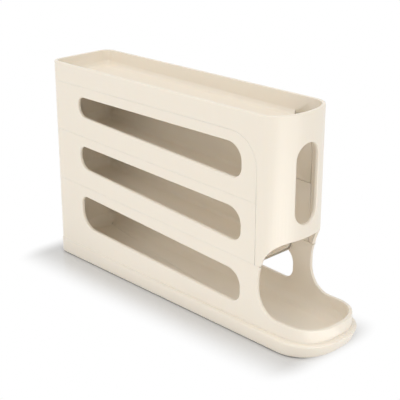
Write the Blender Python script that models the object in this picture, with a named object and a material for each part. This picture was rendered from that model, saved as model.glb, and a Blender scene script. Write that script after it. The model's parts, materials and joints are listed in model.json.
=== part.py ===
"""Rolling egg dispenser for a refrigerator shelf.

Four moulded pieces stack without fasteners: a base with the lowest lane and the open scoop, two slotted
tiers, and a top tray whose front is a round-nosed column. Every lane slopes down to the column, where the
eggs drop to the scoop. Four soft feet sit in sockets under the base. All lengths are in metres, and x is
measured from the rear wall until an object is placed.
"""

import bisect
import math
from collections import namedtuple

import bmesh
import bpy
from mathutils import Matrix, Vector

# A sloped level: its height at the rear wall and at the rear edge of the column
Slope = namedtuple("Slope", "rear front")

# Body
BODY_LENGTH = 0.364
BODY_WIDTH = 0.090
WALL = 0.0042
FLOOR = 0.0026
REAR_RADIUS = 0.014
NOSE_DEPTH = 0.030
NOSE_EXPONENT = 2.15

# Stacked pieces: their heights at the rear wall, and how far the seams fall from there to the column
BASE_HEIGHT = 0.1018
MIDDLE_HEIGHT = 0.0619
UPPER_HEIGHT = 0.0583
TRAY_HEIGHT = 0.0230
LOWER_SEAM_FALL = 0.0168
UPPER_SEAM_FALL = 0.0117
SEAM_GAP = 0.0003
SEAM_EDGE = 0.0003
TRAY_CORNER_RADIUS = 0.035

# Lanes: how far each starts above or below its seam at the rear wall, and how far it falls to the column
TRAY_LANE_RISE = 0.0042
TRAY_LANE_FALL = 0.0040
UPPER_LANE_DEPTH = 0.0047
UPPER_LANE_FALL = 0.0184
MIDDLE_LANE_DEPTH = 0.0056
MIDDLE_LANE_FALL = 0.0254
BASE_LANE_FALL = 0.0100
LANE_FILLET = 0.005
LANE_SETBACK = 0.024

# Plug under each lane, which drops inside the walls of the piece below
PLUG_CLEARANCE = 0.0004
PLUG_WALL = 0.0024
PLUG_FILLET = 0.005
PLUG_STEP = 0.0012
TRAY_PLUG_DEPTH = 0.005
LINER_START = 0.0025
LINER_RISE = 0.0060
LINER_STEP = 0.0010
BURIED = 0.0021

# Slots in the side walls: head is wall above the slot, sill is wall between lane and slot
SLOT_REAR_SETBACK = 0.051
SLOT_FRONT_SETBACK = 0.021
UPPER_HEAD = 0.0125
UPPER_SILL = 0.0300
MIDDLE_REAR_HEAD = 0.0118
MIDDLE_FRONT_HEAD = 0.0128
MIDDLE_SILL = 0.0300
BASE_REAR_HEAD = 0.0115
BASE_FRONT_HEAD = 0.0167
BASE_REAR_SILL = 0.0321
BASE_FRONT_SILL = 0.0245
SLOT_REAR_RADIUS = 0.0095
SLOT_REAR_TOP_SHARE = 0.44
SLOT_REAR_SILL_SHARE = 0.55
SLOT_FRONT_TOP_SHARE = 0.50
SLOT_FRONT_SILL_SHARE = 0.33

# Mouth between the column and the scoop, seen from the side
MOUTH_JAMB = 0.0040
MOUTH_CHEEK = 0.0170
MOUTH_ARCH_RISE = 0.0425
MOUTH_EXPONENT = 1.8
MOUTH_STRAIGHT = 0.008

# Window in the nose of the column
WINDOW_WIDTH = 0.034
WINDOW_SILL = 0.0155
WINDOW_HEAD = 0.032

# Scoop and plinth
SCOOP_REACH = 0.0475
SCOOP_FRONT_DEPTH = 0.040
SCOOP_EXPONENT = 2.55
SCOOP_SIDE = 0.0155
SCOOP_DIP = 0.0016
SCOOP_FILLET = 0.010
SCOOP_HOLLOW = 0.0017
PLINTH_REAR_OVERHANG = 0.0006
PLINTH_FRONT_OVERHANG = 0.0060
PLINTH_TIP_OVERHANG = 0.0052
PLINTH_TIP_LEAN = 0.0042
PLINTH_HEIGHT = 0.0190
PLINTH_FALL = 0.0026
PLINTH_EDGE_HEIGHT = 0.0028
PLINTH_EDGE_SHARE = 0.62
PLINTH_FILLET_HEIGHT = 0.0014
PLINTH_FILLET_SHARE = 0.31
PLINTH_BOTTOM_RADIUS = 0.0018
PLINTH_CAP = 0.0016
SKIRT = 0.003
RIB = 0.0020
RIB_COUNT = 5

# Soft feet and their sockets
FOOT_RADIUS = 0.0075
FOOT_HEIGHT = 0.0022
FOOT_SHOW = 0.0010
FOOT_FIT = 0.0003
FOOT_EDGE = 0.0004
SOCKET_WALL = 0.0020
FOOT_INSET = 0.016
FRONT_FOOT_SETBACK = 0.034

# Edges
EDGE_RADIUS = 0.0012
INNER_EDGE = 0.0007
CORE_RUN_ON = 0.0011
OVERRUN = 0.004
SAME = 0.0000005

# Number of steps in round stretches
CORNER_STEPS = 7
NOSE_STEPS = 16
CORE_CORNER_STEPS = 8
CORE_NOSE_STEPS = 19
ARC_STEPS = 9
FILLET_STEPS = 3
EDGE_STEPS = 2
FOOT_STEPS = 28

IVORY = (0.86, 0.795, 0.70, 1.0)
SOFT_GREY = (0.55, 0.53, 0.50, 1.0)

# Derived places along the body
COLUMN_START = BODY_LENGTH - NOSE_DEPTH
LANE_END = COLUMN_START - LANE_SETBACK
SLOT_END = COLUMN_START - SLOT_FRONT_SETBACK
MOUTH_DEPTH = NOSE_DEPTH - MOUTH_JAMB
SCOOP_LENGTH = BODY_LENGTH + SCOOP_REACH
TOTAL_LENGTH = PLINTH_REAR_OVERHANG + SCOOP_LENGTH + PLINTH_TIP_OVERHANG
REAR_X = PLINTH_REAR_OVERHANG - TOTAL_LENGTH / 2
PLUG_INSET = WALL + PLUG_CLEARANCE
LANE_INSET = PLUG_INSET + PLUG_WALL
HALF_GAP = SEAM_GAP / 2


# Sloped levels


def level(slope, x, rise=0.0):
    """Height of a sloped level at x, raised by rise."""
    return slope.rear + (slope.front - slope.rear) * x / COLUMN_START + rise


def falling(height, fall=0.0):
    """Sloped level that starts at a height at the rear wall and falls towards the column."""
    return Slope(height, height - fall)


def base_lane():
    """Lowest lane, which leaves room for its floor and the hollow below it at the scoop's tip."""
    tip = FOOT_SHOW + SCOOP_HOLLOW + FLOOR
    return falling(tip + BASE_LANE_FALL * SCOOP_LENGTH / COLUMN_START, BASE_LANE_FALL)


LOWER_SEAM = falling(BASE_HEIGHT, LOWER_SEAM_FALL)
UPPER_SEAM = falling(BASE_HEIGHT + MIDDLE_HEIGHT, UPPER_SEAM_FALL)
TOP_SEAM = falling(BASE_HEIGHT + MIDDLE_HEIGHT + UPPER_HEIGHT)
BODY_HEIGHT = TOP_SEAM.rear + TRAY_HEIGHT

TRAY_LANE = falling(TOP_SEAM.rear + TRAY_LANE_RISE, TRAY_LANE_FALL)
UPPER_LANE = falling(UPPER_SEAM.rear - UPPER_LANE_DEPTH, UPPER_LANE_FALL)
MIDDLE_LANE = falling(LOWER_SEAM.rear - MIDDLE_LANE_DEPTH, MIDDLE_LANE_FALL)
BASE_LANE = base_lane()

PLINTH_FOOT = falling(FOOT_SHOW)
PLINTH_TOP = falling(PLINTH_HEIGHT, PLINTH_FALL)

MOUTH_MIDDLE = LOWER_SEAM.front - MOUTH_CHEEK
MOUTH_TOP = MOUTH_MIDDLE + MOUTH_ARCH_RISE
MOUTH_SHOULDER = MOUTH_MIDDLE - MOUTH_STRAIGHT
SCOOP_RIM = level(PLINTH_TOP, SCOOP_LENGTH, SCOOP_SIDE)
SCOOP_LIP = SCOOP_RIM - SCOOP_DIP
WINDOW_BOTTOM = MOUTH_TOP + WINDOW_SILL
WINDOW_TOP = BODY_HEIGHT - WINDOW_HEAD
PLINTH_CAP_TOP = level(PLINTH_TOP, SCOOP_LENGTH, PLINTH_FILLET_HEIGHT + PLINTH_CAP)
PLINTH_CAP_RISE = PLINTH_CAP_TOP - level(BASE_LANE, SCOOP_LENGTH)


# Plan outlines


class Outline:
    """Half of a plan outline, from the middle of the rear wall to the middle of the front."""

    def __init__(self, length, front_depth, exponent, corner_steps, nose_steps, run_on=0.0):
        """Run_on moves the ends of the round stretches out along the straight ones."""
        self.corner_steps = corner_steps
        half = BODY_WIDTH / 2
        points = [Vector((0.0, 0.0))]
        centre = Vector((REAR_RADIUS, half - REAR_RADIUS))
        for step in range(corner_steps + 1):
            angle = math.pi / 2 * step / corner_steps
            points.append(centre + REAR_RADIUS * Vector((-math.cos(angle), math.sin(angle))))
        for step in range(nose_steps + 1):
            angle = math.pi / 2 * step / nose_steps
            along = math.sin(angle) ** (2 / exponent)
            across = math.cos(angle) ** (2 / exponent) if step < nose_steps else 0.0
            points.append(Vector((length - front_depth + front_depth * along, half * across)))
        points[1].y -= run_on
        points[corner_steps + 1].x += run_on
        points[corner_steps + 2].x -= run_on
        self.points = points
        self.inward = [self.miter(i) for i in range(len(points))]
        self.place = [0.0]
        for first, second in zip(points, points[1:]):
            self.place.append(self.place[-1] + (second - first).length)

    def miter(self, i):
        """Inward vector at point i that moves both its neighbours' sides by one."""
        last = len(self.points) - 1
        if i == 0:
            return Vector((1.0, 0.0))
        if i == last:
            return Vector((-1.0, 0.0))
        before = (self.points[i] - self.points[i - 1]).normalized()
        after = (self.points[i + 1] - self.points[i]).normalized()
        normals = [Vector((side.y, -side.x)) for side in (before, after)]
        middle = (normals[0] + normals[1]).normalized()
        return middle / middle.dot(normals[0])

    def at(self, place, depth):
        """Plan point at a distance along the outline, moved inwards by depth."""
        i = min(max(bisect.bisect_right(self.place, place) - 1, 0), len(self.place) - 2)
        share = (place - self.place[i]) / (self.place[i + 1] - self.place[i])
        point = self.points[i].lerp(self.points[i + 1], share)
        return point + depth * self.inward[i].lerp(self.inward[i + 1], share)

    def place_of(self, x):
        """Distance along the outline of the point at x, past the rear corner."""
        for i in range(self.corner_steps + 1, len(self.points) - 1):
            low, high = self.points[i].x, self.points[i + 1].x
            if low <= x <= high:
                share = (x - low) / (high - low)
                return self.place[i] + share * (self.place[i + 1] - self.place[i])
        return self.place[-1]

    def between(self, start, end):
        """(place, x) of the outline's points between two places."""
        return [(place, point.x) for place, point in zip(self.place, self.points) if start < place < end]

    def ring(self, inset, slope, rise, end=None):
        """Closed ring of space points, inset from the outline, its heights on a sloped level."""
        half = [point + inset * inward for point, inward in zip(self.points, self.inward)]
        if end is not None:
            half = half[1 : self.corner_steps + 2] + [Vector((end, BODY_WIDTH / 2 - inset))]
            flipped = [Vector((point.x, -point.y)) for point in reversed(half)]
        else:
            flipped = [Vector((point.x, -point.y)) for point in reversed(half[1:-1])]
        return [Vector((point.x, point.y, level(slope, point.x, rise))) for point in half + flipped]


# Walls and the solids inside them are stepped differently, so that no two edges coincide
BODY = Outline(BODY_LENGTH, NOSE_DEPTH, NOSE_EXPONENT, CORNER_STEPS, NOSE_STEPS)
SCOOP = Outline(SCOOP_LENGTH, SCOOP_FRONT_DEPTH, SCOOP_EXPONENT, CORNER_STEPS, NOSE_STEPS)
CORE = (CORE_CORNER_STEPS, CORE_NOSE_STEPS, CORE_RUN_ON)
BODY_CORE = Outline(BODY_LENGTH, NOSE_DEPTH, NOSE_EXPONENT, *CORE)
SCOOP_CORE = Outline(SCOOP_LENGTH, SCOOP_FRONT_DEPTH, SCOOP_EXPONENT, *CORE)


# Mesh helpers


def add_object(name, bm, origin=(0.0, 0.0, 0.0)):
    """Object from a bmesh, its own origin at a point of the body, placed in the object's frame."""
    bmesh.ops.triangulate(bm, faces=bm.faces)
    bmesh.ops.recalc_face_normals(bm, faces=bm.faces)
    bmesh.ops.translate(bm, vec=-Vector(origin), verts=bm.verts)
    mesh = bpy.data.meshes.new(name)
    bm.to_mesh(mesh)
    bm.free()
    mesh.shade_smooth()
    mesh.set_sharp_from_angle(angle=math.radians(35))
    obj = bpy.data.objects.new(name, mesh)
    obj.location = Vector(origin) + Vector((REAR_X, 0.0, 0.0))
    bpy.context.collection.objects.link(obj)
    return obj


def helper(name, bm):
    """Object that only shapes another one."""
    obj = add_object(name, bm)
    obj.hide_render = True
    obj.display_type = "WIRE"
    return obj


def combine(obj, other, operation):
    """Boolean of one object with another, kept as a modifier."""
    modifier = obj.modifiers.new(f"{operation.lower()} {other.name}", "BOOLEAN")
    modifier.operation = operation
    modifier.solver = "EXACT"
    modifier.object = other


def loft(bm, rings):
    """Closed solid through rings of equal length, capped at both ends."""
    rows = [[bm.verts.new(point) for point in ring] for ring in rings]
    for low, high in zip(rows, rows[1:]):
        for i, vert in enumerate(low):
            j = (i + 1) % len(low)
            bm.faces.new((vert, low[j], high[j], high[i]))
    bm.faces.new(rows[0][::-1])
    bm.faces.new(rows[-1])


def fillet_rows(inset, radius, slope, rise, outline, end=None):
    """Rings of a round bottom edge, from the flat bottom up to the side."""
    rings = []
    for step in range(FILLET_STEPS + 1):
        angle = math.pi / 2 * step / FILLET_STEPS
        shift = radius * (1 - math.sin(angle))
        lift = radius * (1 - math.cos(angle))
        rings.append(outline.ring(inset + shift, slope, rise + lift, end))
    return rings


def colour(obj, name, rgba, roughness):
    """Own Principled material for one object."""
    material = bpy.data.materials.new(name)
    material.use_nodes = True
    shader = material.node_tree.nodes["Principled BSDF"]
    shader.inputs["Base Color"].default_value = rgba
    shader.inputs["Roughness"].default_value = roughness
    shader.inputs["Metallic"].default_value = 0.0
    obj.data.materials.append(material)


# Sheet with rounded edges, drawn flat and bent round an outline


def rounded_corner(before, corner, after, radius):
    """Arc points that round one corner of a flat outline."""
    to_before = (before - corner).normalized()
    to_after = (after - corner).normalized()
    half_angle = to_before.angle(to_after) / 2
    reach = radius / math.tan(half_angle)
    centre = corner + (to_before + to_after).normalized() * radius / math.sin(half_angle)
    start = corner + to_before * reach - centre
    turn = start.angle_signed(corner + to_after * reach - centre)
    steps = [turn * step / ARC_STEPS for step in range(ARC_STEPS + 1)]
    return [centre + Matrix.Rotation(-angle, 2) @ start for angle in steps]


def rounded_loop(corners, radii):
    """Flat outline with each corner rounded by its own radius."""
    loop = []
    for i, corner in enumerate(corners):
        loop += rounded_corner(corners[i - 1], corner, corners[(i + 1) % len(corners)], radii[i])
    return loop


def edged(points, radius=EDGE_RADIUS):
    """The points, each with the radius of the sheet's outer edge there."""
    return [(point, radius) for point in points]


def turned(loop, clockwise):
    """The loop in the asked direction."""
    points = [point for point, _ in loop]
    area = sum(a.x * b.y - b.x * a.y for a, b in zip(points, points[1:] + points[:1]))
    return loop if (area < 0) == clockwise else loop[::-1]


def leftwards(points):
    """Vectors that move a loop's sides by one to its left, where the material is."""
    moves = []
    for i, point in enumerate(points):
        before = (point - points[i - 1]).normalized()
        after = (points[(i + 1) % len(points)] - point).normalized()
        normals = [Vector((-side.y, side.x)) for side in (before, after)]
        middle = (normals[0] + normals[1]).normalized()
        moves.append(middle / middle.dot(normals[0]))
    return moves


def edge_rows(radius):
    """(inset, depth) of each row of points round an edge, from the outer face to the inner one."""
    rows = []
    for step in range(EDGE_STEPS + 1):
        angle = math.pi / 2 * step / EDGE_STEPS
        rows.append((radius * (1 - math.sin(angle)), radius * (1 - math.cos(angle))))
    return rows + [(0.0, WALL - INNER_EDGE), (INNER_EDGE, WALL)]


def sheet_edges(bm, loop):
    """Faces round one loop: a round outer edge, the cut through the wall and a small inner chamfer."""
    points = [point for point, _ in loop]
    rows = zip(*[edge_rows(radius) for _, radius in loop])
    moves = leftwards(points)
    verts = []
    for row in rows:
        verts.append([])
        for point, move, (inset, depth) in zip(points, moves, row):
            moved = point + inset * move
            verts[-1].append(bm.verts.new((moved.x, moved.y, depth)))
    for low, high in zip(verts, verts[1:]):
        for i, vert in enumerate(low):
            j = (i + 1) % len(low)
            bm.faces.new((vert, low[j], high[j], high[i]))
    return verts[0], verts[-1]


def fill_side(bm, rims):
    """Flat face of the sheet inside its first loop and round the others."""
    edges = []
    for rim in rims:
        edges += [bm.edges.get((a, b)) for a, b in zip(rim, rim[1:] + rim[:1])]
    bmesh.ops.triangle_fill(bm, use_beauty=True, use_dissolve=False, edges=edges)


def cut_at(bm, place, **clear):
    """Cut through the flat sheet at one place along it."""
    geometry = bm.verts[:] + bm.edges[:] + bm.faces[:]
    where = Vector((place, 0.0, 0.0))
    bmesh.ops.bisect_plane(bm, geom=geometry, dist=SAME, plane_co=where, plane_no=(1.0, 0.0, 0.0), **clear)


def wrapped_wall(outline, loops):
    """Wall along the outline: a flat half sheet with holes, bent round it and mirrored."""
    bm = bmesh.new()
    rims = []
    for i, loop in enumerate(loops):
        rims.append(sheet_edges(bm, turned(loop, clockwise=i > 0)))
    fill_side(bm, [rim[0] for rim in rims])
    fill_side(bm, [rim[1] for rim in rims])
    for place in outline.place[1:-1]:
        cut_at(bm, place)
    cut_at(bm, outline.place[0], clear_inner=True)
    cut_at(bm, outline.place[-1], clear_outer=True)
    for vert in bm.verts:
        place, height, depth = vert.co
        point = outline.at(place, depth)
        vert.co = (point.x, point.y, height)
    bmesh.ops.mirror(
        bm, geom=bm.verts[:] + bm.edges[:] + bm.faces[:], matrix=Matrix(), merge_dist=SAME, axis="Y"
    )
    bmesh.ops.remove_doubles(bm, verts=bm.verts, dist=SAME)
    return bm


def seam_path(outline, slope, rise, start, end):
    """Flat points of a seam line between two places along the outline."""
    inner = [(place, level(slope, x, rise)) for place, x in outline.between(start, end)]
    first = (start, level(slope, outline.at(max(start, 0.0), 0.0).x, rise))
    last = (end, level(slope, outline.at(end, 0.0).x, rise))
    return [Vector(point) for point in [first, *inner, last]]


def past_middle(last, middle):
    """Point on the middle of the front and the mirror image of the one before it."""
    return [middle, Vector((2 * middle.x - last.x, last.y))]


def slot_loop(outline, tier):
    """Rounded slot of one tier, drawn on the flat side wall."""
    corners = []
    for x in (SLOT_REAR_SETBACK, SLOT_END):
        corners.append(Vector((outline.place_of(x), level(tier.top, x) - level(tier.head, x))))
    for x in (SLOT_END, SLOT_REAR_SETBACK):
        corners.append(Vector((outline.place_of(x), level(tier.lane, x) + level(tier.sill, x))))
    front = corners[1].y - corners[2].y
    rear = corners[0].y - corners[3].y
    radii = (
        min(SLOT_REAR_RADIUS, SLOT_REAR_TOP_SHARE * rear),
        SLOT_FRONT_TOP_SHARE * front,
        SLOT_FRONT_SILL_SHARE * front,
        SLOT_REAR_SILL_SHARE * rear,
    )
    return edged(rounded_loop(corners, radii))


def tray_corner(gap):
    """Arc where the seam turns from under the tray to down the column, moved outwards by gap."""
    centre = Vector((COLUMN_START - TRAY_CORNER_RADIUS, TOP_SEAM.front - TRAY_CORNER_RADIUS))
    arc = []
    for step in range(ARC_STEPS + 1):
        angle = math.pi / 2 * (1 - step / ARC_STEPS)
        point = centre + (TRAY_CORNER_RADIUS + gap) * Vector((math.cos(angle), math.sin(angle)))
        arc.append(Vector((BODY.place_of(point.x), point.y)))
    return arc


def under_tray(gap):
    """Seam line under the tray, from past the rear to the end of its round corner."""
    tray_end = BODY.place_of(COLUMN_START - TRAY_CORNER_RADIUS)
    return seam_path(BODY, TOP_SEAM, gap, -OVERRUN, tray_end)[:-1] + tray_corner(gap)


# Slotted tiers

Tier = namedtuple("Tier", "name bottom top lane head sill")
UPPER_TIER = Tier(
    "upper_tier",
    UPPER_SEAM,
    TOP_SEAM,
    UPPER_LANE,
    Slope(UPPER_HEAD, UPPER_HEAD),
    Slope(UPPER_SILL, UPPER_SILL),
)
MIDDLE_TIER = Tier(
    "middle_tier",
    LOWER_SEAM,
    UPPER_SEAM,
    MIDDLE_LANE,
    Slope(MIDDLE_REAR_HEAD, MIDDLE_FRONT_HEAD),
    Slope(MIDDLE_SILL, MIDDLE_SILL),
)
BASE_TIER = Tier(
    "base_tray",
    BASE_LANE,
    LOWER_SEAM,
    BASE_LANE,
    Slope(BASE_REAR_HEAD, BASE_FRONT_HEAD),
    Slope(BASE_REAR_SILL, BASE_FRONT_SILL),
)


def plug_block(seam, lane):
    """Solid that becomes a lane: a round-edged plug below the seam, buried in the wall above it."""
    bm = bmesh.new()
    rings = fillet_rows(PLUG_INSET, PLUG_FILLET, lane, -FLOOR, BODY_CORE, LANE_END)
    rings.append(BODY_CORE.ring(PLUG_INSET, seam, HALF_GAP + PLUG_STEP, LANE_END))
    rings.append(BODY_CORE.ring(BURIED, seam, HALF_GAP + 2 * PLUG_STEP, LANE_END))
    rings.append(BODY_CORE.ring(BURIED, seam, LINER_START + LINER_RISE - PLUG_STEP, LANE_END))
    loft(bm, rings)
    return bm


def lane_cavity(seam, lane):
    """Trough of a lane, flared above the seam so that it runs out in the wall."""
    bm = bmesh.new()
    end = LANE_END + OVERRUN
    rings = fillet_rows(LANE_INSET, LANE_FILLET, lane, 0.0, BODY_CORE, end)
    rings.append(BODY_CORE.ring(LANE_INSET, seam, LINER_START, end))
    rings.append(BODY_CORE.ring(BURIED, seam, LINER_START + LINER_RISE, end))
    loft(bm, rings)
    return bm


def add_lane(obj, name, seam, lane):
    """Lane with its plug, joined to a piece's walls."""
    block = helper(f"{name} plug", plug_block(seam, lane))
    combine(block, helper(f"{name} trough", lane_cavity(seam, lane)), "DIFFERENCE")
    combine(obj, block, "UNION")
    return block


def slotted_tier(tier):
    """One open-fronted tier: slotted walls, closed rear and a lane that plugs into the piece below."""
    front = BODY.place_of(COLUMN_START) - HALF_GAP
    low = seam_path(BODY, tier.bottom, HALF_GAP, -OVERRUN, front)
    if tier.top == TOP_SEAM:
        high = under_tray(-HALF_GAP)
    else:
        high = seam_path(BODY, tier.top, -HALF_GAP, -OVERRUN, front)
    walls = wrapped_wall(BODY, [edged(low + high[::-1], SEAM_EDGE), slot_loop(BODY, tier)])
    obj = add_object(tier.name, walls, (0.0, 0.0, tier.bottom.rear))
    add_lane(obj, tier.name, tier.bottom, tier.lane)
    colour(obj, f"ivory plastic {tier.name}", IVORY, 0.38)
    return obj


# Top tray with the column


def quarter(share, exponent):
    """Height of a rounded quarter of unit size at a share of its width."""
    return (1 - share**exponent) ** (1 / exponent)


def arch_height(x):
    """Height of the mouth's arch above a point at x."""
    return MOUTH_MIDDLE + MOUTH_ARCH_RISE * quarter((BODY_LENGTH - x) / MOUTH_DEPTH, MOUTH_EXPONENT)


def arch_x(height):
    """x of the mouth's arch at a height."""
    return BODY_LENGTH - MOUTH_DEPTH * quarter((height - MOUTH_MIDDLE) / MOUTH_ARCH_RISE, MOUTH_EXPONENT)


ARCH_FOOT = arch_x(LOWER_SEAM.front)


def arch_path():
    """The arch from its foot on the seam to past the middle of the nose."""
    start = BODY.place_of(ARCH_FOOT)
    path = [Vector((place, arch_height(x) + HALF_GAP)) for place, x in BODY.between(start, BODY.place[-1])]
    return path + past_middle(path[-1], Vector((BODY.place[-1], MOUTH_TOP + HALF_GAP)))


def window_loop():
    """Upright window with round ends, centred on the nose."""
    middle = BODY.place[-1]
    half = WINDOW_WIDTH / 2
    corners = [
        Vector((middle - half, WINDOW_TOP)),
        Vector((middle + half, WINDOW_TOP)),
        Vector((middle + half, WINDOW_BOTTOM)),
        Vector((middle - half, WINDOW_BOTTOM)),
    ]
    return edged(rounded_loop(corners, [half - INNER_EDGE] * len(corners)))


def top_tray():
    """Open tray and the column that hangs from its front, with the window."""
    arch = arch_path()
    seat_ends = (COLUMN_START + HALF_GAP, ARCH_FOOT)
    seat = [Vector((BODY.place_of(x), level(LOWER_SEAM, x, HALF_GAP))) for x in seat_ends]
    rim = [Vector((arch[-1].x, BODY_HEIGHT)), Vector((-OVERRUN, BODY_HEIGHT))]
    outside = edged(under_tray(HALF_GAP) + seat, SEAM_EDGE) + edged(arch + rim)
    walls = wrapped_wall(BODY, [outside, window_loop()])
    obj = add_object("top_tray", walls, (0.0, 0.0, TOP_SEAM.rear))
    block = helper("top_tray floor", tray_floor())
    combine(block, helper("top_tray trough", tray_trough()), "DIFFERENCE")
    combine(block, helper("top_tray hollow", tray_underside()), "DIFFERENCE")
    combine(obj, block, "UNION")
    colour(obj, "ivory plastic top_tray", IVORY, 0.38)
    return obj


def tray_floor():
    """Solid that becomes the tray's lane and the locating skirt below it."""
    bm = bmesh.new()
    loft(
        bm,
        [
            BODY_CORE.ring(PLUG_INSET, TOP_SEAM, -TRAY_PLUG_DEPTH, LANE_END),
            BODY_CORE.ring(PLUG_INSET, TOP_SEAM, HALF_GAP + PLUG_STEP, LANE_END),
            BODY_CORE.ring(BURIED, TOP_SEAM, HALF_GAP + 2 * PLUG_STEP, LANE_END),
            BODY_CORE.ring(BURIED, TRAY_LANE, LINER_START + LINER_RISE, LANE_END),
        ],
    )
    return bm


def tray_trough():
    """Trough of the tray's lane, flared so that it runs out in the walls."""
    bm = bmesh.new()
    end = LANE_END + OVERRUN
    rings = fillet_rows(WALL + LINER_STEP, LANE_FILLET, TRAY_LANE, 0.0, BODY_CORE, end)
    rings.append(BODY_CORE.ring(BURIED, TRAY_LANE, LINER_START + LINER_RISE + PLUG_STEP, end))
    loft(bm, rings)
    return bm


def tray_underside():
    """Hollow under the tray's lane, which leaves its locating skirt."""
    bm = bmesh.new()
    end = LANE_END - PLUG_WALL
    loft(
        bm,
        [
            BODY_CORE.ring(LANE_INSET, TOP_SEAM, -TRAY_PLUG_DEPTH - OVERRUN, end),
            BODY_CORE.ring(LANE_INSET, TRAY_LANE, -FLOOR, end),
        ],
    )
    return bm


# Base with the scoop


def mouth_path():
    """Front edge of the base's walls, from the column's seat down to the scoop's rim and round the lip."""
    path = []
    seat = level(LOWER_SEAM, ARCH_FOOT, -HALF_GAP)
    for step in range(1, ARC_STEPS + 1):
        height = seat + (MOUTH_MIDDLE - seat) * step / ARC_STEPS
        path.append(Vector((SCOOP.place_of(arch_x(height)), height)))
    for step in range(ARC_STEPS + 1):
        angle = math.pi / 2 * step / ARC_STEPS
        x = BODY_LENGTH - MOUTH_DEPTH * math.cos(angle)
        height = MOUTH_SHOULDER - (MOUTH_SHOULDER - SCOOP_RIM) * math.sin(angle)
        path.append(Vector((SCOOP.place_of(x), height)))
    curve_start = SCOOP.place_of(SCOOP_LENGTH - SCOOP_FRONT_DEPTH)
    curve = SCOOP.place[-1] - curve_start
    for place, _ in SCOOP.between(curve_start - SAME, SCOOP.place[-1]):
        share = (place - curve_start) / curve
        dip = (1 - math.cos(math.pi * share)) / 2
        path.append(Vector((place, SCOOP_RIM - SCOOP_DIP * dip)))
    return path + past_middle(path[-1], Vector((SCOOP.place[-1], SCOOP_LIP)))


def base_walls():
    """Walls of the lowest lane and of the scoop, down into the plinth."""
    seam = seam_path(SCOOP, LOWER_SEAM, -HALF_GAP, -OVERRUN, SCOOP.place_of(ARCH_FOOT))
    foot = seam_path(SCOOP, PLINTH_TOP, -PLINTH_EDGE_HEIGHT, -OVERRUN, SCOOP.place[-1])
    foot = foot[:-1] + past_middle(foot[-2], foot[-1])
    outside = edged(seam, SEAM_EDGE) + edged(mouth_path() + foot[::-1])
    return wrapped_wall(SCOOP, [outside, slot_loop(SCOOP, BASE_TIER)])


def towards_tip(x):
    """Share that grows smoothly from none where the scoop's curve starts to one at its tip."""
    past = max(x - SCOOP_LENGTH + SCOOP_FRONT_DEPTH, 0.0) / SCOOP_FRONT_DEPTH
    return (1 - math.cos(math.pi * past)) / 2


def overhang(x):
    """How far the plinth's top stands out from the walls at x: most at the column, less at both ends."""
    side = level(Slope(PLINTH_REAR_OVERHANG, PLINTH_FRONT_OVERHANG), min(max(x, 0.0), COLUMN_START))
    return side + (PLINTH_TIP_OVERHANG - side) * towards_tip(x)


def plinth_ring(share, slope, rise, inset=0.0, lean=0.0):
    """Ring round the base that stands out by a share of the overhang, less an inset and a lean at the tip."""
    walls = SCOOP_CORE.ring(0.0, slope, rise)
    outer = SCOOP_CORE.ring(-1.0, slope, rise)
    ring = []
    for low, high in zip(walls, outer):
        ring.append(low + (high - low) * (share * overhang(low.x) - inset - lean * towards_tip(low.x)))
    return ring


def plinth_foot_ring(rise, inset):
    """Ring near the plinth's foot, where the side leans in under the tip."""
    return plinth_ring(1.0, PLINTH_FOOT, rise, inset, PLINTH_TIP_LEAN)


def plinth_block():
    """Plinth, hollow below, with round edges and a small fillet up to the walls, solid inside them."""
    bm = bmesh.new()
    bottom = plinth_foot_ring(0.0, SKIRT)
    rings = [[Vector((point.x, point.y, level(BASE_LANE, point.x, -FLOOR))) for point in bottom], bottom]
    for step in range(FILLET_STEPS + 1):
        angle = math.pi / 2 * step / FILLET_STEPS
        rise = PLINTH_BOTTOM_RADIUS * (1 - math.cos(angle))
        rings.append(plinth_foot_ring(rise, PLINTH_BOTTOM_RADIUS * (1 - math.sin(angle))))
    for step in range(FILLET_STEPS + 1):
        angle = math.pi / 2 * step / FILLET_STEPS
        share = 1 - PLINTH_EDGE_SHARE * (1 - math.cos(angle))
        rings.append(plinth_ring(share, PLINTH_TOP, -PLINTH_EDGE_HEIGHT * (1 - math.sin(angle))))
    for step in range(FILLET_STEPS + 1):
        angle = math.pi / 2 * step / FILLET_STEPS
        share = PLINTH_FILLET_SHARE * (1 - math.sin(angle))
        rise = PLINTH_FILLET_HEIGHT * (1 - math.cos(angle))
        rings.append(plinth_ring(share, PLINTH_TOP, rise, INNER_EDGE * math.sin(angle)))
    rings.append(SCOOP_CORE.ring(BURIED, BASE_LANE, PLINTH_CAP_RISE))
    loft(bm, rings)
    return bm


def base_trough():
    """Lowest lane and the scoop's bowl in one trough, flared so that it runs out in the walls."""
    bm = bmesh.new()
    inset = WALL + LINER_STEP
    rings = fillet_rows(inset, SCOOP_FILLET, BASE_LANE, 0.0, SCOOP_CORE)
    rings.append(SCOOP_CORE.ring(BURIED, BASE_LANE, PLINTH_CAP_RISE + PLINTH_CAP))
    loft(bm, rings)
    return bm


def prism(bm, corners, half_width):
    """Side outline, in x and height, carried across the body."""
    sides = []
    for y in (-half_width, half_width):
        sides.append([bm.verts.new((x, y, z)) for x, z in corners])
    bm.faces.new(sides[0])
    bm.faces.new(sides[1][::-1])
    for i, vert in enumerate(sides[0]):
        j = (i + 1) % len(corners)
        bm.faces.new((sides[0][j], vert, sides[1][i], sides[1][j]))


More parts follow.
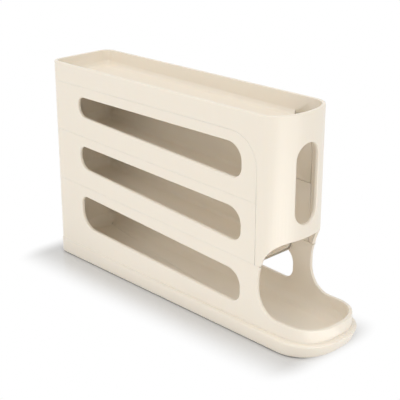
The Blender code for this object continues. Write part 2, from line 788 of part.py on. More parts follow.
def base_ribs():
    """Cross ribs that stiffen the floor from below."""
    bm = bmesh.new()
    low = FOOT_SHOW + PLINTH_BOTTOM_RADIUS
    for i in range(1, RIB_COUNT + 1):
        x = COLUMN_START * i / (RIB_COUNT + 1)
        top = [level(BASE_LANE, side, -FLOOR / 2) for side in (x, x + RIB)]
        half_width = BODY_WIDTH / 2 + overhang(x) - SKIRT / 2
        prism(bm, [(x, low), (x + RIB, low), (x + RIB, top[1]), (x, top[0])], half_width)
    return bm


# Soft feet

Foot = namedtuple("Foot", "name x y")
FOOT_Y = BODY_WIDTH / 2 - FOOT_INSET
FRONT_FOOT_X = SCOOP_LENGTH - FRONT_FOOT_SETBACK
FEET = (
    Foot("foot_rear_right", FOOT_INSET, -FOOT_Y),
    Foot("foot_rear_left", FOOT_INSET, FOOT_Y),
    Foot("foot_front_right", FRONT_FOOT_X, -FOOT_Y),
    Foot("foot_front_left", FRONT_FOOT_X, FOOT_Y),
)


def disc_stack(bm, centre, profile):
    """Turned solid from (radius, height) pairs, bottom to top."""
    rings = []
    for radius, height in profile:
        ring = []
        for step in range(FOOT_STEPS):
            angle = 2 * math.pi * step / FOOT_STEPS
            x = centre[0] + radius * math.cos(angle)
            y = centre[1] + radius * math.sin(angle)
            ring.append(Vector((x, y, height)))
        rings.append(ring)
    loft(bm, rings)


def sockets():
    """Bosses under the floor that take the feet."""
    bm = bmesh.new()
    radius = FOOT_RADIUS + FOOT_FIT + SOCKET_WALL
    low = FOOT_SHOW + FOOT_EDGE
    for foot in FEET:
        disc_stack(bm, (foot.x, foot.y), [(radius, low), (radius, level(BASE_LANE, foot.x, -FLOOR / 2))])
    return bm


def socket_recesses():
    """Round recesses in the bosses, a close fit round the feet."""
    bm = bmesh.new()
    radius = FOOT_RADIUS + FOOT_FIT
    for foot in FEET:
        disc_stack(bm, (foot.x, foot.y), [(radius, -OVERRUN), (radius, FOOT_HEIGHT + FOOT_FIT)])
    return bm


def soft_foot(foot):
    """Soft disc with softened edges, standing on the table."""
    bm = bmesh.new()
    profile = [
        (FOOT_RADIUS - FOOT_EDGE, 0.0),
        (FOOT_RADIUS, FOOT_EDGE),
        (FOOT_RADIUS, FOOT_HEIGHT - FOOT_EDGE),
        (FOOT_RADIUS - FOOT_EDGE, FOOT_HEIGHT),
    ]
    disc_stack(bm, (foot.x, foot.y), profile)
    obj = add_object(foot.name, bm, (foot.x, foot.y, 0.0))
    colour(obj, f"soft rubber {foot.name}", SOFT_GREY, 0.8)
    return obj


def base_tray():
    """Base: plinth, lowest lane with its slots, scoop, ribs and sockets in one moulding."""
    obj = add_object("base_tray", base_walls())
    block = helper("base_tray plinth", plinth_block())
    combine(block, helper("base_tray trough", base_trough()), "DIFFERENCE")
    combine(obj, block, "UNION")
    combine(obj, helper("base_tray ribs", base_ribs()), "UNION")
    combine(obj, helper("base_tray sockets", sockets()), "UNION")
    combine(obj, helper("base_tray recesses", socket_recesses()), "DIFFERENCE")
    colour(obj, "ivory plastic base_tray", IVORY, 0.38)
    return obj


def stack(pieces):
    """Each piece rides on the one before it and keeps its place."""
    places = [piece.location.copy() for piece in pieces]
    for i in range(1, len(pieces)):
        pieces[i].parent = pieces[i - 1]
        pieces[i].location = places[i] - places[i - 1]


def main():
    """Clear the scene and build the dispenser."""
    for obj in list(bpy.data.objects):
        bpy.data.objects.remove(obj, do_unlink=True)
    base = base_tray()
    stack([base, slotted_tier(MIDDLE_TIER), slotted_tier(UPPER_TIER), top_tray()])
    for foot in FEET:
        stack([base, soft_foot(foot)])


main()
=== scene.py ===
"""Studio scene of a rolling egg dispenser in satin ivory plastic.

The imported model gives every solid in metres. Each moulded piece is shown by a merged, smoothly
shaded copy of its solid, dressed in procedural finishes, under plain soft light at the
photographed angle.
"""

import json
import logging
import math
from dataclasses import dataclass
from enum import Enum, IntEnum

import bmesh
import bpy
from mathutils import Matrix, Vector

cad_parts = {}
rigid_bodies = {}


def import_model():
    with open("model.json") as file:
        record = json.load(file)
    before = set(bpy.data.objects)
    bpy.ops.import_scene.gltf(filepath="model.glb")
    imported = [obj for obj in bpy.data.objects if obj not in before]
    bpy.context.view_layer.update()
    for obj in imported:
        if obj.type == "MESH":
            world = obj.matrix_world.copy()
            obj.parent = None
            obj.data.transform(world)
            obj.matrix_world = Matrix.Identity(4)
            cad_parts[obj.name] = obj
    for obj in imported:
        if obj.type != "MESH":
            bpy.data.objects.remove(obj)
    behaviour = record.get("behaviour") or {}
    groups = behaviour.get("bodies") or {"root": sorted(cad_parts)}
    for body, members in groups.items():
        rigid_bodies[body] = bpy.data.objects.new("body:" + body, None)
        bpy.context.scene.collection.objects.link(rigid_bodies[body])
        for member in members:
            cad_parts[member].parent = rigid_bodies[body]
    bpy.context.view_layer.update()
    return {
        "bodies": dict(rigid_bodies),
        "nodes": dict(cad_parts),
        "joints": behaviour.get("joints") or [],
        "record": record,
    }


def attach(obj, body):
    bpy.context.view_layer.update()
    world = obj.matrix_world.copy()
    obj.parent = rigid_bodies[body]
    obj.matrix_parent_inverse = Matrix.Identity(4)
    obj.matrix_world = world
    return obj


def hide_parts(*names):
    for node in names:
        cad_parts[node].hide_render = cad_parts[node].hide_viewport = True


log = logging.getLogger("egg_dispenser")

WHITE = (1.0, 1.0, 1.0, 1.0)

Colour = tuple[float, float, float, float]
Triple = tuple[float, float, float]
Pair = tuple[float, float]


class Slot(Enum):
    """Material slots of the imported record."""

    PLASTIC = "ivory_plastic"
    FOOT = "soft_foot"


class MixInput(IntEnum):
    """Inputs of a Mix node by their place, since inputs of each type share their names."""

    FACTOR = 0
    FLOAT_A = 2
    FLOAT_B = 3
    COLOUR_A = 6
    COLOUR_B = 7


class MixOutput(IntEnum):
    """Outputs of a Mix node by their place."""

    FLOAT = 0
    COLOUR = 2


# Nodes


def add_node(tree: bpy.types.NodeTree, kind: str, **settings: object) -> bpy.types.Node:
    """Add a node to a tree.

    Args:
        tree: node tree that gets the node.
        kind: Blender's name of the node.
        settings: attributes set on the node.

    Returns:
        The new node.
    """
    node = tree.nodes.new(kind)
    for label, value in settings.items():
        setattr(node, label, value)
    return node


def set_inputs(node: bpy.types.Node, values: dict[str, object]) -> None:
    """Set inputs of a node by their names.

    Args:
        node: node that gets the values.
        values: input names with their values.
    """
    for label, value in values.items():
        node.inputs[label].default_value = value


def remap(
    tree: bpy.types.NodeTree,
    value: bpy.types.NodeSocket,
    source: Pair,
    target: Pair = (0.0, 1.0),
    **settings: object,
) -> bpy.types.NodeSocket:
    """Spread one range of values over another, held at its ends.

    Args:
        tree: node tree that gets the node.
        value: socket with the value.
        source: values that become the ends of the target.
        target: first and last value of the result.
        settings: attributes set on the node.

    Returns:
        Socket with the result.
    """
    node = add_node(tree, "ShaderNodeMapRange", **settings)
    ends = dict(zip(("From Min", "From Max", "To Min", "To Max"), (*source, *target)))
    set_inputs(node, ends)
    tree.links.new(value, node.inputs["Value"])
    return node.outputs["Result"]


def mix_colour(
    tree: bpy.types.NodeTree,
    mask: bpy.types.NodeSocket,
    share: float,
    first: Colour | bpy.types.NodeSocket,
    second: Colour,
) -> bpy.types.NodeSocket:
    """Mix two colours by a mask.

    Args:
        tree: node tree that gets the nodes.
        mask: socket with the mask.
        share: how much of the mask counts.
        first: colour, or the socket with it, where the mask is 0.
        second: colour where the mask is 1.

    Returns:
        Socket with the mixed colour.
    """
    part = add_node(tree, "ShaderNodeMath", operation="MULTIPLY")
    part.inputs[1].default_value = share
    tree.links.new(mask, part.inputs[0])
    mix = add_node(tree, "ShaderNodeMix", data_type="RGBA")
    if isinstance(first, bpy.types.NodeSocket):
        tree.links.new(first, mix.inputs[MixInput.COLOUR_A])
    else:
        mix.inputs[MixInput.COLOUR_A].default_value = first
    mix.inputs[MixInput.COLOUR_B].default_value = second
    tree.links.new(part.outputs["Value"], mix.inputs[MixInput.FACTOR])
    return mix.outputs[MixOutput.COLOUR]


def start_material(name: str) -> tuple[bpy.types.Material, bpy.types.Node]:
    """Start a material.

    Args:
        name: name of the material.

    Returns:
        The material and its Principled shader.
    """
    material = bpy.data.materials.new(name)
    material.use_nodes = True
    return material, material.node_tree.nodes["Principled BSDF"]


# Node groups


class NodeGroup:
    """Shader node group that is built once and placed with its own values."""

    def __init__(self, name: str, inputs: dict[str, float], outputs: dict[str, str]) -> None:
        """Start an empty group.

        Args:
            name: name of the group.
            inputs: float inputs with their default values.
            outputs: output names with their socket types.
        """
        self.tree = bpy.data.node_groups.new(name, "ShaderNodeTree")
        for label, value in inputs.items():
            socket = self.tree.interface.new_socket(
                label, in_out="INPUT", socket_type="NodeSocketFloat"
            )
            socket.default_value = value
        for label, kind in outputs.items():
            self.tree.interface.new_socket(label, in_out="OUTPUT", socket_type=kind)
        self.source = self.node("NodeGroupInput")
        self.result = self.node("NodeGroupOutput")

    def node(self, kind: str, **settings: object) -> bpy.types.Node:
        """Add a node with its settings."""
        return add_node(self.tree, kind, **settings)

    def link(self, start: bpy.types.NodeSocket, end: bpy.types.NodeSocket) -> None:
        """Join two sockets."""
        self.tree.links.new(start, end)

    def noise(
        self, place: bpy.types.NodeSocket, scale: str, detail: float
    ) -> bpy.types.NodeSocket:
        """Add a noise texture.

        Args:
            place: socket with the coordinates that the noise reads.
            scale: name of the group's input that scales it.
            detail: number of finer octaves.

        Returns:
            Socket with the noise, from 0 to 1.
        """
        texture = self.node("ShaderNodeTexNoise")
        texture.inputs["Detail"].default_value = detail
        self.link(place, texture.inputs["Vector"])
        self.link(self.source.outputs[scale], texture.inputs["Scale"])
        return texture.outputs["Fac"]

    def blend(
        self, share: str, first: bpy.types.NodeSocket, second: bpy.types.NodeSocket
    ) -> bpy.types.NodeSocket:
        """Blend two values.

        Args:
            share: name of the group's input that gives the share of the second value.
            first: socket with the first value.
            second: socket with the second value.

        Returns:
            Socket with the blended value.
        """
        mix = self.node("ShaderNodeMix", data_type="FLOAT")
        self.link(self.source.outputs[share], mix.inputs[MixInput.FACTOR])
        self.link(first, mix.inputs[MixInput.FLOAT_A])
        self.link(second, mix.inputs[MixInput.FLOAT_B])
        return mix.outputs[MixOutput.FLOAT]

    def product(
        self, first: bpy.types.NodeSocket, second: bpy.types.NodeSocket
    ) -> bpy.types.NodeSocket:
        """Multiply two values.

        Args:
            first: socket with the first value.
            second: socket with the second value.

        Returns:
            Socket with the product.
        """
        both = self.node("ShaderNodeMath", operation="MULTIPLY")
        self.link(first, both.inputs[0])
        self.link(second, both.inputs[1])
        return both.outputs["Value"]


GRAIN_DETAIL = 3.0
WAVE_DETAIL = 2.0
STREAK_DETAIL = 2.0
STREAK_STRETCH = (1.0, 1.0, 0.03)


def grain_group() -> NodeGroup:
    """Fine moulded grain with broad, faint waviness and upright draw streaks.

    Returns:
        Group with a height for a bump and a variation value.
    """
    group = NodeGroup(
        "moulded grain",
        {
            "Grain Scale": 2600.0,
            "Wave Scale": 26.0,
            "Wave Share": 0.5,
            "Streak Scale": 260.0,
            "Streak Share": 0.5,
        },
        {"Height": "NodeSocketFloat", "Variation": "NodeSocketFloat"},
    )
    place = group.node("ShaderNodeTexCoord").outputs["Object"]
    stretched = group.node("ShaderNodeVectorMath", operation="MULTIPLY")
    stretched.inputs[1].default_value = STREAK_STRETCH
    group.link(place, stretched.inputs[0])
    fine = group.noise(place, "Grain Scale", GRAIN_DETAIL)
    broad = group.noise(place, "Wave Scale", WAVE_DETAIL)
    streaks = group.noise(stretched.outputs["Vector"], "Streak Scale", STREAK_DETAIL)
    group.link(group.blend("Wave Share", fine, broad), group.result.inputs["Height"])
    group.link(group.blend("Streak Share", broad, streaks), group.result.inputs["Variation"])
    return group


BEVEL_SAMPLES = 4
BREAKUP_DETAIL = 2.0
EDGE_WEAR_HIGHLIGHT_COSINES = (0.995, 0.93)


def edge_group() -> NodeGroup:
    """Mask of wear on the edges, which also paints them lighter as a painted highlight, broken
    up by noise, and the rounded normal that finds them.

    Wear and the painted edge highlight grow with the angle between the rounded and the plain
    normal.

    Returns:
        Group with a mask from 0 to 1 and a normal.
    """
    group = NodeGroup(
        "edge wear and painted highlight",
        {"Radius": 0.0006, "Breakup Scale": 220.0},
        {"Mask": "NodeSocketFloat", "Normal": "NodeSocketVector"},
    )
    rounded = group.node("ShaderNodeBevel", samples=BEVEL_SAMPLES)
    plain_normal = group.node("ShaderNodeNewGeometry").outputs["Normal"]
    compare = group.node("ShaderNodeVectorMath", operation="DOT_PRODUCT")
    group.link(group.source.outputs["Radius"], rounded.inputs["Radius"])
    group.link(rounded.outputs["Normal"], compare.inputs[0])
    group.link(plain_normal, compare.inputs[1])
    place = group.node("ShaderNodeTexCoord").outputs["Object"]
    breakup = group.noise(place, "Breakup Scale", BREAKUP_DETAIL)
    # The mask marks wear and also paints a highlight: edges get lighter where a rounded edge
    # would catch the light.
    bent = remap(group.tree, compare.outputs["Value"], EDGE_WEAR_HIGHLIGHT_COSINES)
    group.link(group.product(bent, breakup), group.result.inputs["Mask"])
    group.link(rounded.outputs["Normal"], group.result.inputs["Normal"])
    return group


SPECK_DETAIL = 4.0
SPECK_LEVELS = (0.52, 0.75)
LEVEL_ENOUGH = (0.75, 1.0)


def dust_group() -> NodeGroup:
    """Mask of the faint dust that settles on surfaces that face up.

    Returns:
        Group with a mask from 0 to 1.
    """
    group = NodeGroup("settled dust", {"Speck Scale": 900.0}, {"Mask": "NodeSocketFloat"})
    split = group.node("ShaderNodeSeparateXYZ")
    group.link(group.node("ShaderNodeNewGeometry").outputs["Normal"], split.inputs[0])
    place = group.node("ShaderNodeTexCoord").outputs["Object"]
    specks = group.noise(place, "Speck Scale", SPECK_DETAIL)
    upward = remap(group.tree, split.outputs["Z"], LEVEL_ENOUGH)
    cut = remap(group.tree, specks, SPECK_LEVELS)
    group.link(group.product(upward, cut), group.result.inputs["Mask"])
    return group


@dataclass(frozen=True)
class Effects:
    """Node groups that the finishes share."""

    grain: NodeGroup
    edges: NodeGroup
    dust: NodeGroup

    @classmethod
    def build(cls) -> "Effects":
        """Build each group once."""
        return cls(grain_group(), edge_group(), dust_group())


# Finishes


@dataclass(frozen=True)
class MouldedFinish:
    """Finish of a moulded surface: colour, its variation, wear on the edges with a painted edge
    highlight, grain and dust.

    The roughness stays above 0.274. Below it a render's denoiser takes the sheen for a mirror
    and draws an outline round the spots where the variation crosses that value.
    """

    name: str
    colour: Colour
    shade: Colour
    wear_and_highlight_colour: Colour
    dust: Colour
    roughness: Pair
    grain_scale: float
    grain_depth: float
    wave_scale: float
    streak_scale: float
    streak_share: float
    wear_and_highlight_share: float
    dust_share: float
    specular: float
    subsurface: float
    subsurface_radius: Triple
    subsurface_scale: float
    bump_strength: float = 0.35
    variation: Pair = (0.3, 0.7)

    def build(self, effects: Effects) -> bpy.types.Material:
        """Make the finish as a material.

        Args:
            effects: node groups that the finishes share.

        Returns:
            The material.
        """
        material, shader = start_material(self.name)
        tree = material.node_tree
        set_inputs(
            shader,
            {
                "Specular IOR Level": self.specular,
                "Subsurface Weight": self.subsurface,
                "Subsurface Radius": self.subsurface_radius,
                "Subsurface Scale": self.subsurface_scale,
            },
        )
        grain = add_node(tree, "ShaderNodeGroup", node_tree=effects.grain.tree)
        set_inputs(
            grain,
            {
                "Grain Scale": self.grain_scale,
                "Wave Scale": self.wave_scale,
                "Streak Scale": self.streak_scale,
                "Streak Share": self.streak_share,
            },
        )
        edges = add_node(tree, "ShaderNodeGroup", node_tree=effects.edges.tree)
        dust = add_node(tree, "ShaderNodeGroup", node_tree=effects.dust.tree)
        self.link_colour(tree, shader, grain, edges, dust)
        self.link_roughness(tree, shader, grain, dust)
        self.link_normal(tree, shader, grain, edges)
        return material

    def link_colour(
        self,
        tree: bpy.types.NodeTree,
        shader: bpy.types.Node,
        grain: bpy.types.Node,
        edges: bpy.types.Node,
        dust: bpy.types.Node,
    ) -> None:
        """Lead colour, broad variation, wear on the edges with a painted edge highlight, and
        dust to the shader.

        Args:
            tree: material's node tree.
            shader: Principled shader.
            grain: node of the grain group.
            edges: node of the edge group.
            dust: node of the dust group.
        """
        colour = mix_colour(tree, grain.outputs["Variation"], 1.0, self.colour, self.shade)
        # Wear on the edges and painted highlight: the edges are painted lighter, standing in for
        # the bright highlight lines on rounded edges as well as for wear.
        colour = mix_colour(tree, edges.outputs["Mask"], self.wear_and_highlight_share, colour, self.wear_and_highlight_colour)
        colour = mix_colour(tree, dust.outputs["Mask"], self.dust_share, colour, self.dust)
        tree.links.new(colour, shader.inputs["Base Color"])

    def link_roughness(
        self,
        tree: bpy.types.NodeTree,
        shader: bpy.types.Node,
        grain: bpy.types.Node,
        dust: bpy.types.Node,
    ) -> None:
        """Lead a slightly uneven roughness to the shader.

        Args:
            tree: material's node tree.
            shader: Principled shader.
            grain: node of the grain group.
            dust: node of the dust group.
        """
        uneven = remap(tree, grain.outputs["Variation"], self.variation, self.roughness)
        rougher = add_node(tree, "ShaderNodeMath", operation="MULTIPLY_ADD", use_clamp=True)
        rougher.inputs[1].default_value = self.dust_share
        tree.links.new(dust.outputs["Mask"], rougher.inputs[0])
        tree.links.new(uneven, rougher.inputs[2])
        tree.links.new(rougher.outputs["Value"], shader.inputs["Roughness"])

    def link_normal(
        self,
        tree: bpy.types.NodeTree,
        shader: bpy.types.Node,
        grain: bpy.types.Node,
        edges: bpy.types.Node,
    ) -> None:
        """Lead grain and rounded edges to the shader.

        Args:
            tree: material's node tree.
            shader: Principled shader.
            grain: node of the grain group.
            edges: node of the edge group.
        """
        bump = add_node(tree, "ShaderNodeBump")
        set_inputs(bump, {"Strength": self.bump_strength, "Distance": self.grain_depth})
        tree.links.new(grain.outputs["Height"], bump.inputs["Height"])
        tree.links.new(edges.outputs["Normal"], bump.inputs["Normal"])
        tree.links.new(bump.outputs["Normal"], shader.inputs["Normal"])


IVORY = MouldedFinish(
    name="satin ivory plastic",
    colour=(0.87, 0.795, 0.68, 1.0),
    shade=(0.845, 0.77, 0.655, 1.0),
    # lighter edge colour: wear and a painted edge highlight
    wear_and_highlight_colour=(0.97, 0.94, 0.88, 1.0),
    dust=(0.80, 0.77, 0.72, 1.0),
    roughness=(0.276, 0.36),
    grain_scale=2600.0,
    grain_depth=0.00006,
    wave_scale=26.0,
    streak_scale=280.0,
    streak_share=0.35,
    wear_and_highlight_share=0.9,
    dust_share=0.10,
    specular=0.45,
    subsurface=0.12,
    subsurface_radius=(1.0, 0.7, 0.45),
    subsurface_scale=0.002,
)

SOFT_RUBBER = MouldedFinish(
    name="soft grey rubber",
    colour=(0.42, 0.40, 0.37, 1.0),
    shade=(0.36, 0.34, 0.32, 1.0),
    # lighter edge colour: wear and a painted edge highlight
    wear_and_highlight_colour=(0.55, 0.53, 0.50, 1.0),
    dust=(0.62, 0.60, 0.56, 1.0),
    roughness=(0.68, 0.85),
    grain_scale=3800.0,
    grain_depth=0.00012,
    wave_scale=300.0,
    streak_scale=300.0,
    streak_share=0.0,
    wear_and_highlight_share=0.8,
    dust_share=0.35,
    specular=0.35,
    subsurface=0.0,
    subsurface_radius=(1.0, 1.0, 1.0),
    subsurface_scale=0.001,
)


# Seams

FAR_OFF = Vector((0.0, 0.0, 1.0))


@dataclass(frozen=True, kw_only=True)
class Seam:
    """Joint between two stacked pieces whose edges are drawn towards it.

    The solids keep a gap at every joint. Drawn in, the joint looks like faces that touch. The
    gap shrinks to the share that is kept, so the pieces still don't meet.
    """

    kept: float
    reach: float = 0.0005

    def distance(self, point: Vector) -> Vector:
        """Shortest way from the joint to a point.

        Args:
            point: place on a piece, in the frame.

        Returns:
            The way as a vector, longer than the reach where the joint doesn't run.
        """
        raise NotImplementedError

    def pull(self, point: Vector) -> Vector:
        """Move that draws a point towards the joint.

        Args:
            point: place on a piece, in the frame.

        Returns:
            The move, of no length beyond the reach.
        """
        way = self.distance(point)
        return way * (self.kept - 1.0) if way.length < self.reach else Vector()


@dataclass(frozen=True, kw_only=True)
class SlopedSeam(Seam):
    """Joint that runs round a tier and falls evenly from the rear wall to its front end."""

    rear: float
    run: float
    height: float
    fall: float
    start: float
    end: float

    def distance(self, point: Vector) -> Vector:
        """Upright way from the joint to a point.

        Args:
            point: place on a piece, in the frame.

        Returns:
            The way as a vector.
        """
        along = point.x - self.rear
        if not self.start < along <= self.end:
            return FAR_OFF
        return Vector((0.0, 0.0, point.z - self.height + self.fall * along / self.run))


@dataclass(frozen=True, kw_only=True)
class RoundSeam(Seam):
    """Quarter turn of a joint, from level to upright."""

    centre: Pair
    radius: float

    def distance(self, point: Vector) -> Vector:
        """Radial way from the joint to a point.

        Args:
            point: place on a piece, in the frame.

        Returns:
            The way as a vector.
        """
        spoke = Vector((point.x - self.centre[0], 0.0, point.z - self.centre[1]))
        if min(spoke.x, spoke.z) <= 0.0:
            return FAR_OFF
        return spoke.normalized() * (spoke.length - self.radius)


@dataclass(frozen=True, kw_only=True)
class UprightSeam(Seam):
    """Joint between the column and the tiers behind it."""

    place: float
    foot: float
    head: float

    def distance(self, point: Vector) -> Vector:
        """Level way from the joint to a point.

        Args:
            point: place on a piece, in the frame.

        Returns:
            The way as a vector.
        """
        if not self.foot < point.z <= self.head:
            return FAR_OFF
        return Vector((point.x - self.place, 0.0, 0.0))


# Pieces


@dataclass(frozen=True)
class Moulding:
    """One moulded piece: a merged copy of its solid with smooth shading and its finish."""

    node: str
    body: str
    slot: Slot
    finish: bpy.types.Material
    seams: tuple[Seam, ...] = ()
    smooth_angle: float = math.radians(50)
    merge: float = 0.00001

    def merged_mesh(self, solid: bpy.types.Object) -> bpy.types.Mesh:
        """Copy of the solid's mesh with its loose triangles joined and its seams drawn in.

        Args:
            solid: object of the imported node.

        Returns:
            The merged mesh.
        """
        mesh = bpy.data.meshes.new(f"{self.node}_shell")
        bm = bmesh.new()
        bm.from_mesh(solid.data)
        bmesh.ops.remove_doubles(bm, verts=bm.verts, dist=self.merge)
        bmesh.ops.dissolve_degenerate(bm, edges=bm.edges, dist=self.merge)
        for vertex in bm.verts:
            for seam in self.seams:
                vertex.co += seam.pull(vertex.co)
        bm.to_mesh(mesh)
        bm.free()
        return mesh

    def build(self, frame: dict) -> bpy.types.Object:
        """Make the piece and let it stand for its node.


        Returns:
            The piece.
        """
        mesh = self.merged_mesh(frame["nodes"][self.node])
        mesh.shade_smooth()
        mesh.set_sharp_from_angle(angle=self.smooth_angle)
        mesh.materials.append(self.finish)
        piece = bpy.data.objects.new(f"{self.node}_shell", mesh)
        bpy.context.scene.collection.objects.link(piece)
        even = piece.modifiers.new("even shading", "WEIGHTED_NORMAL")
        even.mode = "FACE_AREA_WITH_ANGLE"
        even.keep_sharp = True
        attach(piece, self.body)
        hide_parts(self.node)
        return piece


@dataclass(frozen=True)
class TierStack:
    """Four stacked mouldings: base, middle tier, upper tier, and top tray with its column.

    Lengths run from the rear wall and heights from the table. The hair keeps the ends of a seam
    clear of the walls there. Each kind of seam keeps its own share of the gap.
    """

    rear: float = -0.20805
    column: float = 0.334
    seat_end: float = 0.3415
    base_height: float = 0.1018
    middle_height: float = 0.0619
    upper_height: float = 0.0583
    lower_fall: float = 0.0168
    upper_fall: float = 0.0117
    corner_radius: float = 0.035
    hair: float = 0.0001
    kept_sloped: float = 0.14
    kept_seat: float = 0.05
    kept_level: float = 0.08
    kept_round: float = 0.40
    kept_upright: float = 0.80

    def sloped(self, kept: float, height: float, fall: float, span: Pair) -> SlopedSeam:
        """Seam that falls towards the column.

        Args:
            kept: share of its gap that stays.
            height: height at the rear wall.
            fall: how much lower it lies at the column.
            span: where it starts and ends, from the rear wall.

        Returns:
            The seam.
        """
        return SlopedSeam(
            kept=kept,
            rear=self.rear,
            run=self.column,
            height=height,
            fall=fall,
            start=span[0],
            end=span[1],
        )

    def seams(self) -> tuple[Seam, ...]:
        """Seams between the four mouldings.

        Returns:
            The seams, from the lowest to the one behind the column.
        """
        start = -self.hair
        front = self.column - self.hair
        upper_seam = self.base_height + self.middle_height
        tray_seam = upper_seam + self.upper_height
        corner_start = self.column - self.corner_radius
        corner_foot = tray_seam - self.corner_radius
        return (
            self.sloped(self.kept_sloped, self.base_height, self.lower_fall, (start, front)),
            self.sloped(
                self.kept_seat, self.base_height, self.lower_fall, (front, self.seat_end)
            ),
            self.sloped(self.kept_sloped, upper_seam, self.upper_fall, (start, front)),
            self.sloped(self.kept_level, tray_seam, 0.0, (start, corner_start)),
            RoundSeam(
                kept=self.kept_round,
                centre=(self.rear + corner_start, corner_foot),
                radius=self.corner_radius,
            ),
            UprightSeam(
                kept=self.kept_upright,
                place=self.rear + self.column,
                foot=self.base_height - self.lower_fall,
                head=corner_foot,
            ),
        )

    def build(self, frame: dict, effects: Effects) -> list[bpy.types.Object]:
        """Make the four mouldings.

        Args:
            effects: node groups that the finishes share.

        Returns:
            The pieces.
        """
        ivory = IVORY.build(effects)
        seams = self.seams()
        tiers = {
            "base_tray": "base",
            "middle_tier": "middle",
            "upper_tier": "upper",
            "top_tray": "top",
        }
        return [
            Moulding(node, body, Slot.PLASTIC, ivory, seams).build(frame)
            for node, body in tiers.items()
        ]


@dataclass(frozen=True)
class FootSet:
    """Four soft feet in their sockets under the base."""

    body: str = "base"
    ends: tuple[str, str] = ("rear", "front")
    sides: tuple[str, str] = ("right", "left")

    def build(self, frame: dict, effects: Effects) -> list[bpy.types.Object]:
        """Make the four feet.

        Args:
            effects: node groups that the finishes share.

        Returns:
            The pieces.
        """
        rubber = SOFT_RUBBER.build(effects)
        return [
            Moulding(f"foot_{end}_{side}", self.body, Slot.FOOT, rubber).build(frame)
            for end in self.ends
            for side in self.sides
        ]


# Studio


@dataclass(frozen=True, kw_only=True)
class Lamp:
    """Soft rectangular lamp, aimed at the object or straight up.

    A lamp for sheen only shows in reflections and doesn't light the surfaces.
    """

    name: str
    place: Triple
    width: float
    height: float
    power: float
    upward: bool = False
    sheen_only: bool = False

    def build(self, aim: Vector) -> None:
        """Place the lamp, hidden from the camera.

        Args:
            aim: point that a lamp faces, unless it faces up.
        """
        light = bpy.data.lights.new(self.name, "AREA")
        light.shape = "RECTANGLE"
        light.size = self.width
        light.size_y = self.height
        light.energy = self.power
        lamp = bpy.data.objects.new(self.name, light)
        ahead = Vector((0.0, 0.0, 1.0)) if self.upward else aim - Vector(self.place)
        lamp.location = self.place
        lamp.rotation_euler = ahead.to_track_quat("-Z", "Y").to_euler()
        lamp.visible_camera = False
        lamp.visible_diffuse = not self.sheen_only
        bpy.context.scene.collection.objects.link(lamp)


LAMPS = (
    Lamp(name="overhead softbox", place=(0.1, -0.2, 1.7), width=1.6, height=1.2, power=9.7),
    Lamp(name="front softbox", place=(1.48, 0.20, 0.75), width=0.9, height=1.2, power=3.1),
    Lamp(name="side softbox", place=(-0.05, -1.7, 0.85), width=2.0, height=1.1, power=6.7),
    Lamp(
        name="upright sheen panel",
        place=(0.40, -0.03, 0.105),
        width=0.34,
        height=0.21,
        power=0.32,
        sheen_only=True,
    ),
    Lamp(
        name="front floor bounce",
        place=(0.37, -0.09, 0.004),
        width=0.30,
        height=0.30,
        power=0.10,
        upward=True,
    ),
    Lamp(
        name="side floor bounce",
        place=(0.03, -0.22, 0.004),
        width=0.32,
        height=0.32,
        power=0.045,
        upward=True,
    ),
    Lamp(
        name="flat sheen panel",
        place=(0.37, -0.12, 0.003),
        width=0.30,
        height=0.30,
        power=0.56,
        upward=True,
        sheen_only=True,
    ),
)


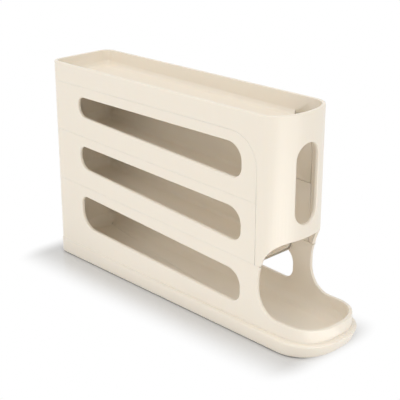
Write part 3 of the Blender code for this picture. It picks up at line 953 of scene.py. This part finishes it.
@dataclass(frozen=True)
class Studio:
    """Pale floor, soft lamps and a white surround.

    Near the dispenser's footprint the floor is painted darker grey as painted shadow round the
    object, and it also takes the lamps' shadow there; further off it is plain white.
    """

    floor_size: float = 14.0
    # grey near the footprint: painted shadow round the object
    painted_shade_floor_colour: Colour = (0.67, 0.67, 0.67, 1.0)
    floor_roughness: float = 0.10
    floor_specular: float = 0.5
    footprint: Pair = (0.195, 0.040)
    footprint_place: Pair = (-0.012, -0.012)
    shade_squeeze: Pair = (1.7, 1.0)
    shade_width: float = 0.055
    world_strength: float = 0.56
    aim: Triple = (0.03, 0.0, 0.11)
    lamps: tuple[Lamp, ...] = LAMPS

    def floor_material(self) -> bpy.types.Material:
        """Glossy floor painted grey near the object as painted shadow, fading to plain white
        away from the object and in reflections.

        Returns:
            The material.
        """
        material, shader = start_material("white studio floor")
        tree = material.node_tree
        set_inputs(
            shader,
            {
                "Base Color": self.painted_shade_floor_colour,
                "Roughness": self.floor_roughness,
                "Specular IOR Level": self.floor_specular,
            },
        )
        way = add_node(tree, "ShaderNodeTexCoord").outputs["Object"]
        for operation, values in (
            ("SUBTRACT", self.footprint_place),
            ("ABSOLUTE", (0.0, 0.0)),
            ("SUBTRACT", self.footprint),
            ("MAXIMUM", (0.0, 0.0)),
            ("MULTIPLY", self.shade_squeeze),
        ):
            step = add_node(tree, "ShaderNodeVectorMath", operation=operation)
            step.inputs[1].default_value = (*values, 0.0)
            tree.links.new(way, step.inputs[0])
            way = step.outputs["Vector"]
        distance = add_node(tree, "ShaderNodeVectorMath", operation="LENGTH")
        tree.links.new(way, distance.inputs[0])
        # Painted shadow: the grey floor colour near the footprint fades into white emission over
        # the shade width.
        fade = remap(
            tree,
            distance.outputs["Value"],
            (0.0, self.shade_width),
            interpolation_type="SMOOTHSTEP",
        )
        path = add_node(tree, "ShaderNodeLightPath")
        white = add_node(tree, "ShaderNodeMath", operation="MAXIMUM")
        tree.links.new(fade, white.inputs[0])
        tree.links.new(path.outputs["Is Glossy Ray"], white.inputs[1])
        mix = add_node(tree, "ShaderNodeMixShader")
        tree.links.new(white.outputs["Value"], mix.inputs[0])
        tree.links.new(shader.outputs[0], mix.inputs[1])
        tree.links.new(add_node(tree, "ShaderNodeEmission").outputs[0], mix.inputs[2])
        tree.links.new(mix.outputs[0], tree.nodes["Material Output"].inputs["Surface"])
        return material

    def build_floor(self) -> None:
        """Lay the floor."""
        mesh = bpy.data.meshes.new("studio_floor")
        bm = bmesh.new()
        bmesh.ops.create_grid(bm, x_segments=1, y_segments=1, size=self.floor_size / 2)
        bm.to_mesh(mesh)
        bm.free()
        mesh.materials.append(self.floor_material())
        floor = bpy.data.objects.new("studio_floor", mesh)
        bpy.context.scene.collection.objects.link(floor)

    def build_world(self) -> None:
        """White surround: plain white to the camera and in reflections, softer as a light."""
        world = bpy.data.worlds.new("white surround")
        world.use_nodes = True
        bpy.context.scene.world = world
        tree = world.node_tree
        background = tree.nodes["Background"]
        background.inputs["Color"].default_value = WHITE
        path = add_node(tree, "ShaderNodeLightPath")
        seen = path.outputs["Is Camera Ray"]
        for ray in ("Is Glossy Ray", "Is Transmission Ray"):
            either = add_node(tree, "ShaderNodeMath", operation="MAXIMUM")
            tree.links.new(seen, either.inputs[0])
            tree.links.new(path.outputs[ray], either.inputs[1])
            seen = either.outputs["Value"]
        strength = remap(tree, seen, (0.0, 1.0), (self.world_strength, 1.0))
        tree.links.new(strength, background.inputs["Strength"])

    def build(self) -> None:
        """Set up floor, surround, lamps and view settings."""
        self.build_floor()
        self.build_world()
        for lamp in self.lamps:
            lamp.build(Vector(self.aim))
        bpy.context.scene.view_settings.view_transform = "Standard"


# Camera


@dataclass(frozen=True)
class PhotoCamera:
    """Camera at the photographed angle, in metres, degrees and, for the lens, millimetres."""

    place: Triple = (0.76435, -0.7528, 0.5145)
    azimuth: float = 45.41
    pitch: float = 20.63
    lens: float = 91.55
    sensor: float = 36.0
    clip: Pair = (0.01, 50.0)

    def build(self) -> None:
        """Create the camera and make it the scene's."""
        data = bpy.data.cameras.new("photo camera")
        data.lens = self.lens
        data.sensor_width = self.sensor
        data.clip_start, data.clip_end = self.clip
        turn = math.radians(self.azimuth)
        tilt = math.radians(self.pitch)
        ahead = Vector(
            (-math.sin(turn) * math.cos(tilt), math.cos(turn) * math.cos(tilt), -math.sin(tilt))
        )
        camera = bpy.data.objects.new("photo camera", data)
        camera.location = self.place
        camera.rotation_euler = ahead.to_track_quat("-Z", "Y").to_euler()
        bpy.context.scene.collection.objects.link(camera)
        bpy.context.scene.camera = camera


# Whole scene


def main() -> None:
    """Build the camera, the dispenser and the studio, and report each piece."""
    logging.basicConfig(level=logging.INFO, format="%(name)s: %(message)s")
    for leftover in list(bpy.data.objects):
        bpy.data.objects.remove(leftover, do_unlink=True)
    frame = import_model()
    PhotoCamera().build()
    effects = Effects.build()
    for sub_assembly in (TierStack(), FootSet()):
        for piece in sub_assembly.build(frame, effects):
            log.info("%s: %d faces", piece.name, len(piece.data.polygons))
    Studio().build()


if __name__ == "__main__":
    main()
